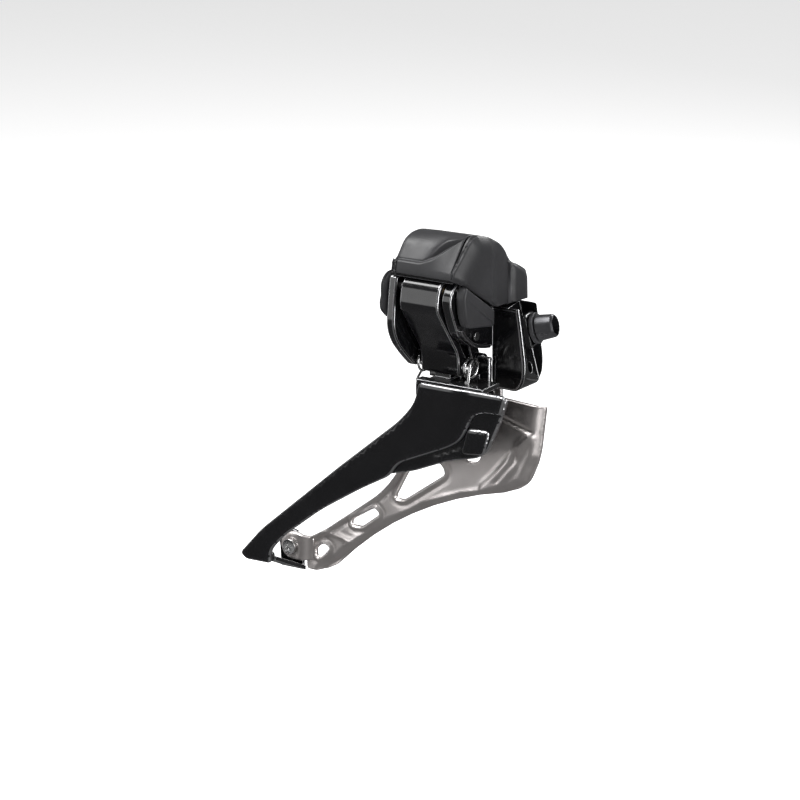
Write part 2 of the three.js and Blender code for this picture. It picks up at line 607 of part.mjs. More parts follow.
// The bridge joins both plates over the chain and carries the lugs of the four lower pin ends.
function cageBridge() {
  const shelf = prismZ(shelfOutline(), SHELF_Z);
  const lug = ([y, z], radius, span) => {
    const arch = rodX(span, [y, z], radius, 28);
    return joined(arch, box(span, [y - 0.6 * radius, y + radius], [SHELF_Z[0] + 0.5, z]));
  };
  const flangeOuter = box([-23.2, -1.2], [SHELF_Y[0], SHELF_Y[0] + 1.2], [-11.2, SHELF_Z[0] + 0.2]);
  const postPlan = [[-11.4, -8.2, 0.4], [-7.2, -8.2, 0.8], [-7.2, -6.3, 0.8], [-11.4, -6.3, 0.4]];
  const post = prismZ(postPlan, [-10.4, -1.4]);
  const body = joined(
    shelf,
    flangeOuter,
    lug(LOWER_OUTER, 2.3, LUG_X),
    lug(LOWER_INNER, 2.1, [-24.6, INNER_LINK_X[0] - GAP]),
    lug(LOWER_INNER, 2.1, [INNER_LINK_X[1] + GAP, -10.4]),
    post,
  );
  return cut(
    body,
    rodX([-30, 0], LOWER_OUTER, PIN_RADIUS + FIT),
    rodX([-30, 0], LOWER_INNER, PIN_RADIUS - 0.2 + FIT),
    prismX([[-18.2, -8.4], [-12.2, -8.4], [-12.0, -5.6], [-18.2, -5.6]], [-24.2, LUG_X[0] - 0.6]),
    prismX([[-18.2, -8.4], [-12.2, -8.4], [-12.0, -5.6], [-18.2, -5.6]], [LUG_X[1] + 0.6, -10.8]),
    ...RIVETS.map((x) => rodY([-22, -20], [x, -9.4], 0.9 + FIT)),
  );
}

function arcPoint(degreesBehindTop) {
  const angle = THREE.MathUtils.degToRad(degreesBehindTop);
  return [CHAIN_ARC.x - CHAIN_ARC.r * Math.sin(angle), CHAIN_ARC.z + CHAIN_ARC.r * Math.cos(angle)];
}

// Inner plate [x, z]: foot along the chainring's circle, tail, rear edge, top, front edge.
function innerPlateOutline() {
  const foot = [];
  for (let angle = 12; angle <= 46; angle += 4.25) foot.unshift(arcPoint(angle));
  return [
    [-67.2, -73.2, 0.8], [-62.2, -73.3, 3], ...foot, [7.0, -36.2, 5], [10.6, -27.0, 5], [12.4, -11.8, 0.8],
    [-1.0, -11.0, 0], [-1.0, -8.4, 0.4], [-22.4, -8.4, 1], [-25.0, -21.0, 5], [-37.4, -41.2, 5],
    [-42.0, -46.2, 4], [-60.6, -60.1, 3], [-67.2, -63.9, 0.8],
  ];
}

// Openings of the inner plate [x, z].
const WINDOW = [
  [-36.4, -46.2, 2.4], [-33.6, -46.6, 2], [-19.2, -36.4, 2.4], [-20.6, -33.6, 2], [-29.6, -33.4, 2.4],
];
const SLOT = [
  [-51.2, -57.0, 0.8], [-47.9, -57.0, 0.8], [-41.6, -52.2, 0.8], [-43.4, -50.6, 0.8], [-51.4, -55.6, 0.8],
];
const TAIL_HOLE = [
  [-63.6, -69.4, 1], [-61.2, -68.0, 0.6], [-58.8, -65.4, 1], [-61.4, -64.5, 1], [-63.8, -66.4, 0.6],
];
const ROUND_HOLE = [-10.2, -27.8];
// Where the plate's edge is rolled over: its front and foot, up to the tail.
const ROLLED_SIDE = [[-60, -80], [20, -80], [20, -12.5], [9.6, -12.5], [5, -33], [-30, -48], [-52, -62]];
const TAB_Y = [-13.9, -12.7];

function innerPlate() {
  const points = innerPlateOutline();
  const rollDepth = 3.6;
  const plate = prismY(points, INNER_PLATE_Y);
  const rolled = prismY(points, [INNER_PLATE_Y[0], INNER_PLATE_Y[0] + rollDepth]);
  const lip = cut(rolled, prismY(inset(points, 1.3), [-14, -6])).intersect(prismY(ROLLED_SIDE, [-20, 0]));
  const tab = joined(
    rodY(TAB_Y, SCREW_AT, 4.1, 28),
    prismY([[-71.3, -70.3], [-66.2, -70.3], [-66.2, -63.6], [-71.3, -62.3]], TAB_Y),
    prismY([[-67.2, -70.3], [-65.8, -70.3], [-65.8, -63.6], [-67.2, -63.9]], [TAB_Y[0], -10.9]),
  );
  const through = [-16, -5];
  return cut(
    joined(plate, lip, tab),
    prismY(WINDOW, through),
    prismY(SLOT, through),
    prismY(TAIL_HOLE, through),
    rodY(through, ROUND_HOLE, 2.8, 20),
    rodY(through, SCREW_AT, 1.6 + FIT + 0.1),
    ...INNER_SCREWS.map((x) => rodY(through, [x, -9.8], 0.9 + FIT)),
  );
}

const INNER_SCREWS = [-20.0, -4.0];

// The tail bridge slopes from the blade's foot to an ear behind the inner plate's tab.
function tailBridge() {
  const corner = (x, y, z) => new THREE.Vector3(x, y, z);
  const slabEnd = (x0, x1, y, z) => [
    corner(x0, y, z), corner(x1, y, z), corner(x0, y, z + 1.4), corner(x1, y, z + 1.4),
  ];
  const slab = toSolid(new ConvexGeometry([
    ...slabEnd(-78.6, -71.8, -21.6, -68.9),
    ...slabEnd(-75.6, -67.8, -11.4, -73.9),
  ]));
  const slotPlan = [[-74.9, -18.6, 1.2], [-71.6, -18.6, 1.2], [-70.4, -15.0, 1.2], [-73.9, -15.0, 1.2]];
  const slot = prismZ(slotPlan, [-80, -60]);
  const ear = joined(
    rodY([-12.4, -11.2], [SCREW_AT[0] - 0.8, SCREW_AT[1]], 4.4, 28),
    box([-75.9, -68.3], [-12.4, -11.2], [-73.6, SCREW_AT[1]]),
  );
  return cut(joined(cut(slab, slot), ear), rodY([-16, -5], SCREW_AT, 1.6 + FIT + 0.1));
}

// A turned screw with a hexagon socket from floor to open, both along X.
function socketHead(profile, [y, z], socketRadius, floor, open) {
  const hex = new THREE.CylinderGeometry(socketRadius, socketRadius, open - floor, 6).rotateZ(Math.PI / 2);
  return cut(turned(profile, [y, z]), toSolid(hex.translate((open + floor) / 2, y, z)));
}

function tailScrew() {
  const head = rodY([-15.4, -14.2], SCREW_AT, 2.2);
  const shank = rodY([-14.3, -10.9], SCREW_AT, 1.6);
  const socket = rodY([-15.6, -14.8], SCREW_AT, 1.0, 6);
  return cut(joined(head, shank), socket);
}

function ringAround([y, z], x, coilRadius, wireRadius) {
  const ring = new THREE.TorusGeometry(coilRadius, wireRadius, 6, 14).rotateY(Math.PI / 2);
  return toSolid(ring.translate(x, y, z));
}

// A torsion spring drawn as touching turns with a leg down to the shelf.
function pivotSpring(xs, legX, legFoot) {
  const [y, z] = LOWER_OUTER;
  const coilRadius = 1.75;
  const wire = 0.42;
  const turns = xs.map((x) => ringAround([y, z], x, coilRadius, wire));
  const ties = rodX([xs[0], xs[xs.length - 1]], [y + coilRadius, z], wire * 0.9, 8);
  const leg = new THREE.CylinderGeometry(wire, wire, z - legFoot, 8).rotateX(Math.PI / 2);
  return joined(...turns, ties, toSolid(leg.translate(legX, y - coilRadius, (z + legFoot) / 2)));
}

function cage() {
  addPart('outer_plate', outerPlate(), 'blackAlloy');
  addPart('inner_plate', innerPlate(), 'nickel');
  addPart('cage_bridge', cageBridge(), 'blackAlloy');
  addPart('tail_bridge', tailBridge(), 'blackAlloy');
  addPart('tail_screw', tailScrew(), 'brightSteel');
  RIVETS.forEach((x, i) => {
    addPart(`rivet_outer_${i + 1}`, rodY([-24.0, -20.2], [x, -9.4], 0.9, 16), 'darkSteel');
  });
  INNER_SCREWS.forEach((x, i) => {
    addPart(`rivet_inner_${i + 1}`, rodY([-12.3, -10.2], [x, -9.8], 0.9, 16), 'brightSteel');
  });
  addPart('lower_pin_outer', rodX([-25.3, -7.9], LOWER_OUTER, PIN_RADIUS), 'brightSteel');
  addPart('lower_pin_inner', rodX([-25.0, -10.0], LOWER_INNER, PIN_RADIUS - 0.2), 'brightSteel');
  addPart('spring_front', pivotSpring([-10.3, -9.5, -8.7], -8.7, -6.2), 'brightSteel');
  addPart('spring_rear', pivotSpring([-24.9, -24.3], -24.9, -9.0), 'brightSteel');
}

// ---------------------------------------------------------------- fasteners at the hanger

const WASHER_X = [3.9, 5.0]; // flat washer, along the bolt

function radiusWasher() {
  const across = [[-4.2, 1.2, 0.8], [4.2, 1.2, 0.8], [4.2, 10.8, 1.8], [-4.2, 10.8, 1.8]];
  const block = onFace(prismX(across, [GAP, WASHER_X[0] - GAP], 0.5));
  return cut(block, onFace(rodX([-2, 8], [0, BOLT_HEIGHT], 2.6)));
}

function flatWasher() {
  const disc = rodX(WASHER_X, [0, BOLT_HEIGHT], 4.5);
  return onFace(cut(disc, rodX([0, 8], [0, BOLT_HEIGHT], 2.6)));
}

function fixingBolt() {
  const head = WASHER_X[1] + GAP;
  const profile = [
    [-8, 0], [-8, 2.1], [-7.6, 2.5], [head, 2.5], [head, 3.8], [9.8, 3.35], [10.4, 2.9], [10.4, 0],
  ];
  const socketRadius = 2.88;
  return onFace(socketHead(profile, [0, BOLT_HEIGHT], socketRadius, 7.8, 11));
}

function supportBolt() {
  const screw = turned([[-9.5, 0], [-9.5, 1.2], [-9.2, 1.5], [-2.4, 1.5], [-2.4, 0]], [0, SUPPORT_BOLT_DROP]);
  const hex = new THREE.CylinderGeometry(0.9, 0.9, 3, 6).rotateZ(Math.PI / 2);
  hex.translate(-9.5, 0, SUPPORT_BOLT_DROP);
  return onFace(cut(screw, toSolid(hex)));
}

function fasteners() {
  addPart('radius_washer', radiusWasher(), 'blackAlloy');
  addPart('flat_washer', flatWasher(), 'darkSteel');
  addPart('fixing_bolt', fixingBolt(), 'darkSteel');
  addPart('support_bolt', supportBolt(), 'darkSteel');
  const screw = joined(rodX([-7.4, -6.9], [-15.2, 6.6], 1.3, 16), rodX([-9.6, -7.3], [-15.2, 6.6], 0.7, 16));
  addPart('case_screw', screw, 'brightSteel');
}

addPart('base_bracket', cut(baseBracket(), rodX([-9.7, -5], [-15.2, 6.6], 0.7 + FIT)), 'blackAlloy');
motorUnit();
drive();
links();
cage();
fasteners();

export default assembly;
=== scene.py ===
"""Looks of the electronic front derailleur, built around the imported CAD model.

Shapes are written in millimetres in the part's frame (+X forward, +Y inward, +Z up) and stored in metres.
"""
import json
from math import cos, exp, hypot, pi, radians, sin

import bmesh
import bpy
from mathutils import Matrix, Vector
from mathutils.geometry import delaunay_2d_cdt


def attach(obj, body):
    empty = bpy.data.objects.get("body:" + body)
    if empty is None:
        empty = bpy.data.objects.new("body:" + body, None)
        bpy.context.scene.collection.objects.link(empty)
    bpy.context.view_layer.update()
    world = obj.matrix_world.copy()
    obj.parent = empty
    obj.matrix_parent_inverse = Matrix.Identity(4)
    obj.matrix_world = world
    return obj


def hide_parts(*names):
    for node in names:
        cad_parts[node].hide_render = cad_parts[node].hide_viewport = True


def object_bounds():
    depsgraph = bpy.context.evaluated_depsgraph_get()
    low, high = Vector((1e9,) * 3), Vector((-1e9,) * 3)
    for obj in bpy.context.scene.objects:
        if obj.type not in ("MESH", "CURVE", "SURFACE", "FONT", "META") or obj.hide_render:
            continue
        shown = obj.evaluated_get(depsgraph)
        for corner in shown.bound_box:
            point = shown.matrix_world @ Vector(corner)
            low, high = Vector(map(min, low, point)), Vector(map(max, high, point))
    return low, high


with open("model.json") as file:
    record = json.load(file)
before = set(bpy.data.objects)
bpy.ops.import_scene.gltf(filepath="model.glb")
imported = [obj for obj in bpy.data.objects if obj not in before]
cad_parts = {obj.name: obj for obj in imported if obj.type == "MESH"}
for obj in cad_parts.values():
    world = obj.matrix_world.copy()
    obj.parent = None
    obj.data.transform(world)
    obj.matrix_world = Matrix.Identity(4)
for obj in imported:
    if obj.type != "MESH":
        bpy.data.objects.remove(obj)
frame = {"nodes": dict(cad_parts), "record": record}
cad_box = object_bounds()
nodes = frame["nodes"]

MM = 0.001

# Camera: a long lens, from the front quarter and slightly above.
VIEW_AZIMUTH = radians(33)
VIEW_ELEVATION = radians(16)
VIEW_DISTANCE = 1.1111
AIM = Vector((-0.02044, -0.03385, -0.00939))
LENS = 180
SENSOR_WIDTH = 36

FLOOR_DROP = 0.06
FLOOR_HALF_SIZE = 6
FLOOR_GLOW = 0.55
AMBIENT_LEVEL = 0.16
BACKDROP_LEVEL = 1.1


# ---------------------------------------------------------------- materials

DRIFT_SCALE = 90       # colour drift, features per metre
POLISH_SCALE = 400     # roughness drift
GRAIN_STRENGTH = 0.35


def new_material(name):
    material = bpy.data.materials.new(name)
    material.use_nodes = True
    tree = material.node_tree
    return material, tree, tree.nodes["Principled BSDF"]


def slot_of(material):
    """The record's slot name, without the number Blender adds when the CAD model's material has the name."""
    return material.name.split(".")[0]


def noise(tree, scale, detail=3.0):
    """A noise field in object space; scale is in features per metre."""
    where = tree.nodes.new("ShaderNodeTexCoord")
    field = tree.nodes.new("ShaderNodeTexNoise")
    field.inputs["Scale"].default_value = scale
    field.inputs["Detail"].default_value = detail
    tree.links.new(where.outputs["Object"], field.inputs["Vector"])
    return field.outputs["Fac"]


def spread(tree, field, low, high):
    """Maps the middle of a noise field onto low to high."""
    ramp = tree.nodes.new("ShaderNodeMapRange")
    ramp.inputs["From Min"].default_value = 0.3
    ramp.inputs["From Max"].default_value = 0.7
    ramp.inputs["To Min"].default_value = low
    ramp.inputs["To Max"].default_value = high
    tree.links.new(field, ramp.inputs["Value"])
    return ramp.outputs["Result"]


def tint(tree, factor, dark, light):
    mix = tree.nodes.new("ShaderNodeMix")
    mix.data_type = "RGBA"
    mix.inputs["A"].default_value = (*dark, 1)
    mix.inputs["B"].default_value = (*light, 1)
    tree.links.new(factor, mix.inputs["Factor"])
    return mix.outputs["Result"]


def bump(tree, shader, field, strength, depth):
    node = tree.nodes.new("ShaderNodeBump")
    node.inputs["Strength"].default_value = strength
    node.inputs["Distance"].default_value = depth
    tree.links.new(field, node.inputs["Height"])
    tree.links.new(node.outputs["Normal"], shader.inputs["Normal"])


def sharp_edge_highlight_mask(tree, amount):
    """Where the surface is convex and sharp, from the mesh's own curvature; the mask of a painted edge
    highlight.
    """
    geometry = tree.nodes.new("ShaderNodeNewGeometry")
    ramp = tree.nodes.new("ShaderNodeMapRange")
    ramp.inputs["From Min"].default_value = 0.52
    ramp.inputs["From Max"].default_value = 0.62
    ramp.inputs["To Max"].default_value = amount
    tree.links.new(geometry.outputs["Pointiness"], ramp.inputs["Value"])
    return ramp.outputs["Result"]


def add_painted_edge_highlight(tree, colour, light, amount):
    """The colour with a paler tone of itself on its sharp convex edges: a painted edge highlight."""
    highlight_mix = tree.nodes.new("ShaderNodeMix")
    highlight_mix.data_type = "RGBA"
    highlight_mix.inputs["B"].default_value = (*[min(1, 0.03 + 3.5 * c) for c in light], 1)
    tree.links.new(sharp_edge_highlight_mask(tree, amount), highlight_mix.inputs["Factor"])
    tree.links.new(colour, highlight_mix.inputs["A"])
    return highlight_mix.outputs["Result"]


def surface(name, dark, light, rough, metallic, grain, grain_depth, painted_edge_light=0.0, specular=0.5):
    """One procedural finish: slow colour drift, uneven roughness, fine grain, and paler edges that are a
    painted edge highlight.
    """
    material, tree, shader = new_material(name)
    shader.inputs["Metallic"].default_value = metallic
    shader.inputs["Specular IOR Level"].default_value = specular
    colour = tint(tree, spread(tree, noise(tree, DRIFT_SCALE, 4), 0, 1), dark, light)
    # Paler sharp convex edges: a painted edge highlight.
    if painted_edge_light:
        colour = add_painted_edge_highlight(tree, colour, light, painted_edge_light)
    tree.links.new(colour, shader.inputs["Base Color"])
    fine = noise(tree, grain, 2)
    uneven = spread(tree, noise(tree, POLISH_SCALE, 3), rough[0], rough[1])
    tree.links.new(uneven, shader.inputs["Roughness"])
    bump(tree, shader, fine, GRAIN_STRENGTH, grain_depth)
    return material


def make_materials():
    """Every finish by its slot; all but the pale rim metal are material slots of the part's record. That pale
    metal is partly polish and partly a painted edge highlight.
    """
    finishes = [
        # Several finishes get paler sharp edges, a painted edge highlight.
        surface("cover_plastic", (0.017, 0.017, 0.0185), (0.023, 0.023, 0.025), rough=(0.38, 0.48),
                metallic=0, grain=5200, grain_depth=1.6e-5, painted_edge_light=0.3, specular=0.36),
        surface("seal_rubber", (0.008, 0.008, 0.008), (0.016, 0.016, 0.016), rough=(0.6, 0.8), metallic=0,
                grain=4000, grain_depth=3e-5),
        surface("black_alloy", (0.0025, 0.0025, 0.003), (0.004, 0.004, 0.0046), rough=(0.10, 0.16),
                metallic=0, grain=2600, grain_depth=3e-6, painted_edge_light=0.3),
        surface("nickel", (0.74, 0.695, 0.68), (0.88, 0.835, 0.82), rough=(0.34, 0.46), metallic=1,
                grain=3600, grain_depth=8e-5, painted_edge_light=0.3),
        surface("dark_steel", (0.022, 0.022, 0.024), (0.04, 0.04, 0.043), rough=(0.26, 0.36), metallic=0.6,
                grain=3500, grain_depth=1e-5, painted_edge_light=0.6),
        surface("bright_steel", (0.62, 0.62, 0.62), (0.75, 0.75, 0.75), rough=(0.16, 0.26), metallic=1,
                grain=5000, grain_depth=6e-6),
        surface("brass", (0.16, 0.12, 0.07), (0.22, 0.17, 0.10), rough=(0.30, 0.40), metallic=1,
                grain=5000, grain_depth=6e-6),
        surface("board", (0.010, 0.08, 0.035), (0.018, 0.12, 0.05), rough=(0.35, 0.5), metallic=0,
                grain=2500, grain_depth=2e-5),
        # Pale metal for the rims and rounded edges of black parts: partly polish, partly a painted edge
        # highlight.
        surface("polish_and_rim_highlight", (0.42, 0.42, 0.43), (0.54, 0.54, 0.55), rough=(0.26, 0.36), metallic=1,
                grain=5000, grain_depth=4e-6),
    ]
    return {slot_of(material): material for material in finishes}


# ---------------------------------------------------------------- shape helpers

def rounded(points, step=0.5):
    """A closed outline with each corner (x, z, radius) rounded, as plain (x, z) pairs in millimetres."""
    outline = []
    for index, (x, z, radius) in enumerate(points):
        here = Vector((x, z))
        before = Vector(points[index - 1][:2])
        after = Vector(points[(index + 1) % len(points)][:2])
        to_before = (before - here).normalized()
        to_after = (after - here).normalized()
        half = 0.5 * to_before.angle(to_after)
        reach = min(radius / max(0.2, abs(half)), 0.48 * (before - here).length, 0.48 * (after - here).length)
        start = here + to_before * reach
        end = here + to_after * reach
        count = max(2, int(reach / step) + 2) if radius else 1
        for k in range(count):
            t = k / max(1, count - 1)
            point = start.lerp(here, t).lerp(here.lerp(end, t), t) if radius else here
            outline.append((point.x, point.y))
    return outline


def circle(centre, radius, count):
    angles = [2 * pi * k / count for k in range(count)]
    return [(centre[0] + radius * cos(a), centre[1] + radius * sin(a)) for a in angles]


def densified(outline, step):
    dense = []
    for (x0, z0), (x1, z1) in zip(outline, outline[1:] + outline[:1]):
        length = hypot(x1 - x0, z1 - z0)
        count = max(1, int(length / step))
        for k in range(count):
            dense.append((x0 + (x1 - x0) * k / count, z0 + (z1 - z0) * k / count))
    return dense


def inside(outline, x, z):
    crossings = False
    for (x0, z0), (x1, z1) in zip(outline, outline[1:] + outline[:1]):
        if (z0 > z) != (z1 > z) and x < (x1 - x0) * (z - z0) / (z1 - z0) + x0:
            crossings = not crossings
    return crossings


def distance_to(line, x, z, closed=False):
    """Distance from a point to a polyline, in the same units."""
    nearest = 1e9
    pairs = zip(line, line[1:] + line[:1]) if closed else zip(line, line[1:])
    for (x0, z0), (x1, z1) in pairs:
        dx = x1 - x0
        dz = z1 - z0
        along = ((x - x0) * dx + (z - z0) * dz) / max(1e-12, dx * dx + dz * dz)
        along = min(1.0, max(0.0, along))
        nearest = min(nearest, hypot(x - x0 - along * dx, z - z0 - along * dz))
    return nearest


def smooth_step(value, low, high):
    t = min(1.0, max(0.0, (value - low) / (high - low)))
    return t * t * (3 - 2 * t)


def mesh_object(name, points, faces, body, material):
    """A smooth-shaded piece from millimetre points, riding on a body."""
    mesh = bpy.data.meshes.new(name)
    mesh.from_pydata([(x * MM, y * MM, z * MM) for x, y, z in points], [], faces)
    mesh.materials.append(material)
    for polygon in mesh.polygons:
        polygon.use_smooth = True
    mesh.update()
    piece = bpy.data.objects.new(name, mesh)
    bpy.context.scene.collection.objects.link(piece)
    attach(piece, body)
    return piece


OUTLINE_SPACING = 0.6       # spacing of the points along an outline, as a share of the grid step
OUTLINE_CLEARANCE = 0.45    # grid points keep this share of a step from every outline
RIM_ROWS = (0.18, 0.4)      # extra rows of points beside the outlines, where the rim rounds over


def on_sheet(loops, x, z):
    return inside(loops[0], x, z) and not any(inside(hole, x, z) for hole in loops[1:])


def grid_points(loops, step):
    """A staggered grid over the sheet, clear of its outlines."""
    xs = [p[0] for p in loops[0]]
    zs = [p[1] for p in loops[0]]
    grid = []
    for row in range(int((max(zs) - min(zs)) / step) + 1):
        for column in range(int((max(xs) - min(xs)) / step) + 1):
            x = min(xs) + (column + 0.5 * (row % 2)) * step
            z = min(zs) + row * step
            if not on_sheet(loops, x, z):
                continue
            if min(distance_to(loop, x, z, True) for loop in loops) > OUTLINE_CLEARANCE * step:
                grid.append(Vector((x, z)))
    return grid


def rim_points(loops):
    """Rows of points just inside the material, beside every outline."""
    rows = []
    for loop in loops:
        for (x0, z0), (x1, z1) in zip(loop, loop[1:] + loop[:1]):
            normal = Vector((z0 - z1, x1 - x0)).normalized()
            for offset in RIM_ROWS:
                for side in (1, -1):
                    x = 0.5 * (x0 + x1) + normal.x * offset * side
                    z = 0.5 * (z0 + z1) + normal.y * offset * side
                    if on_sheet(loops, x, z):
                        rows.append(Vector((x, z)))
    return rows


def triangulated(loops, step):
    """Points and triangles that cover the sheet between its outer outline and its holes."""
    points = []
    edges = []
    for loop in loops:
        first = len(points)
        points += [Vector(p) for p in loop]
        edges += [(first + k, first + (k + 1) % len(loop)) for k in range(len(loop))]
    points += grid_points(loops, step) + rim_points(loops)
    flat, _, triangles, _, _, _ = delaunay_2d_cdt(points, edges, [], 0, 1e-4)
    kept = []
    for triangle in triangles:
        x = sum(flat[i].x for i in triangle) / 3
        z = sum(flat[i].y for i in triangle) / 3
        if on_sheet(loops, x, z):
            kept.append(tuple(triangle))
    return flat, kept


def thick_faces(triangles, count):
    """Front triangles, the same triangles turned round at the back, and quads around every rim."""
    faces = triangles + [(c + count, b + count, a + count) for a, b, c in triangles]
    sides = {side for a, b, c in triangles for side in ((a, b), (b, c), (c, a))}
    for a, b, c in triangles:
        for start, end in ((a, b), (b, c), (c, a)):
            if (end, start) not in sides:
                faces.append((end, start, start + count, end + count))
    return faces


def sheet(name, outline, holes, front, thickness, body, material, step=0.8, edge=0.25, rim_material=None,
          faces_forward=False):
    """A pressed plate with rounded rims.

    It faces -Y, and front(x, z) gives the Y of its outer face. With faces_forward it faces +X, and
    front(y, z) gives the X.
    """
    loops = [densified(loop, OUTLINE_SPACING * step) for loop in [outline] + holes]
    flat, triangles = triangulated(loops, step)
    count = len(flat)
    rims = [min(distance_to(loop, p.x, p.y, True) for loop in loops) for p in flat]
    outer = []
    back = []
    for p, rim in zip(flat, rims):
        round_over = edge * (1 - min(1.0, rim / edge)) ** 2
        height = front(p.x, p.y)
        if faces_forward:
            outer.append((height - round_over, p.x, p.y))
            back.append((height - thickness, p.x, p.y))
        else:
            outer.append((p.x, height + round_over, p.y))
            back.append((p.x, height + thickness, p.y))
    faces = thick_faces(triangles, count)
    piece = mesh_object(name, outer + back, faces, body, material)
    # Rims can take a second material; on the cage plates it is pale metal, partly a painted edge highlight.
    if rim_material:
        piece.data.materials.append(rim_material)
        for index, face in enumerate(faces):
            on_rim = face[0] < count and all(rims[i % count] < edge for i in face)
            if len(face) == 4 or on_rim:
                piece.data.polygons[index].material_index = 1
    return piece


def lofted(name, sections, body, material):
    """Skin over closed sections, each a list of (x, y, z), with both ends capped."""
    size = len(sections[0])
    points = [p for section in sections for p in section]
    faces = []
    for row in range(len(sections) - 1):
        for k in range(size):
            a = row * size + k
            b = row * size + (k + 1) % size
            faces.append((a, b, b + size, a + size))
    faces.append(tuple(range(size - 1, -1, -1)))
    last = (len(sections) - 1) * size
    faces.append(tuple(last + k for k in range(size)))
    return mesh_object(name, points, faces, body, material)


WIRE_RESOLUTION = 3


def wire(name, path, radius, body, material):
    """A round wire along a list of millimetre points."""
    curve = bpy.data.curves.new(name, "CURVE")
    curve.dimensions = "3D"
    curve.bevel_depth = radius * MM
    curve.bevel_resolution = WIRE_RESOLUTION
    curve.use_fill_caps = True
    spline = curve.splines.new("POLY")
    spline.points.add(len(path) - 1)
    for point, (x, y, z) in zip(spline.points, path):
        point.co = (x * MM, y * MM, z * MM, 1)
    drawn = bpy.data.objects.new(name + "_path", curve)
    bpy.context.scene.collection.objects.link(drawn)
    mesh = bpy.data.meshes.new_from_object(drawn.evaluated_get(bpy.context.evaluated_depsgraph_get()))
    bpy.data.objects.remove(drawn)
    mesh.materials.clear()
    mesh.materials.append(material)
    for polygon in mesh.polygons:
        polygon.use_smooth = True
    piece = bpy.data.objects.new(name, mesh)
    bpy.context.scene.collection.objects.link(piece)
    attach(piece, body)
    return piece


# ---------------------------------------------------------------- cage plates

FOOT_CENTRE = (22.0, -148.0)   # chainring axis as the inner plate's lower edge follows it [x, z]
FOOT_RADIUS = 111.0

INNER_FACE_Y = -12.0
# Openings of the inner plate as corners with their radius [x, z, radius].
INNER_WINDOW = [
    (-36.4, -46.2, 2.4), (-33.6, -46.6, 2), (-19.2, -36.4, 2.4), (-20.6, -33.6, 2), (-29.6, -33.4, 2.4),
]
INNER_SLOT = [
    (-51.2, -57.0, 0.8), (-47.9, -57.0, 0.8), (-41.6, -52.2, 0.8), (-43.4, -50.6, 0.8), (-51.4, -55.6, 0.8),
]
INNER_EYE = [
    (-63.6, -69.4, 1), (-61.2, -68.0, 0.6), (-58.8, -65.4, 1), (-61.4, -64.5, 1), (-63.8, -66.4, 0.6),
]
ROUND_HOLE = (-10.4, -28.7)
ROUND_HOLE_RADIUS = 2.8
SCREW_AT = (-71.3, -66.3)
SCREW_BORE_RADIUS = 1.7
PLATE_THICKNESS = 1.1
PLATE_STEP = 0.6
LIP_DEPTH = 2.2
LIP_WIDTH = 2.2


def inner_outline():
    """Outline of the inner plate; its lower edge is an arc around the chainring axis."""
    foot = []
    for k in range(9):
        angle = radians(12 + 4.25 * k)
        x = FOOT_CENTRE[0] - FOOT_RADIUS * sin(angle)
        z = FOOT_CENTRE[1] + FOOT_RADIUS * cos(angle)
        foot.insert(0, (x, z, 0))
    return rounded(
        [(-67.2, -73.2, 0.8), (-62.2, -73.3, 3)]
        + foot
        + [(7.0, -36.2, 5), (10.6, -27.0, 5), (12.4, -11.8, 0.8), (-1.0, -11.0, 0), (-1.0, -8.4, 0.4),
           (-22.4, -8.4, 1), (-25.0, -21.0, 5), (-37.4, -41.2, 5), (-42.0, -46.2, 4), (-60.6, -60.1, 3),
           (-67.2, -63.9, 0.8)]
    )


# Pressed lines of the inner plate [x, z].
LIP_LINE = [
    (12.4, -12.5), (10.6, -27.0), (6.6, -35.4), (-1.0, -39.6), (-13.6, -42.8), (-26.0, -47.8), (-40.0, -55.8),
    (-50.0, -63.4), (-56.5, -69.0), (-62.0, -72.8),
]
BEND_LINE = [
    (8.6, -20.6), (6.2, -24.0), (3.6, -30.4), (-1.4, -36.4), (-8.0, -39.6), (-20.0, -43.6), (-33.0, -50.4),
    (-44.6, -58.2), (-53.3, -63.6),
]
BROAD_RIDGE = [(8.0, -21.4), (4.4, -24.6), (2.0, -29.0), (-2.4, -34.2), (-6.4, -38.0)]
FRONT_FOLD = [(-4.0, -16.2), (0.4, -17.2), (8.6, -19.6)]
TAIL_RIDGE = [(-62.0, -60.8), (-57.0, -61.0), (-51.2, -62.3)]
REAR_RIM = [(-25.0, -21.0), (-37.4, -41.2), (-42.0, -46.2), (-60.6, -60.1), (-67.2, -63.9)]


# Ridges stand proud by height and grooves are cut by depth [line, width, height].
PLATE_RIDGES = ((BEND_LINE, 0.75, 0.6), (BROAD_RIDGE, 1.2, 0.75), (TAIL_RIDGE, 0.6, 0.6))
FOLD_WIDTH = 0.6
FOLD_DEPTH = 0.7
RIM_WIDTH = 0.4
GROOVE_WIDTH = 0.5
GROOVE_DEPTH = 0.3
GROOVE_OFFSET = 1.8
POCKET_AT = (3.6, -27.6)
POCKET_DEPTH = 0.9
POCKET_SIZE = (1.5, 2.6)
PLATE_RANGE_Y = (INNER_FACE_Y - 0.75, -8.9)


def ridge(distance, width, height):
    return height * exp(-(distance / width) ** 2)


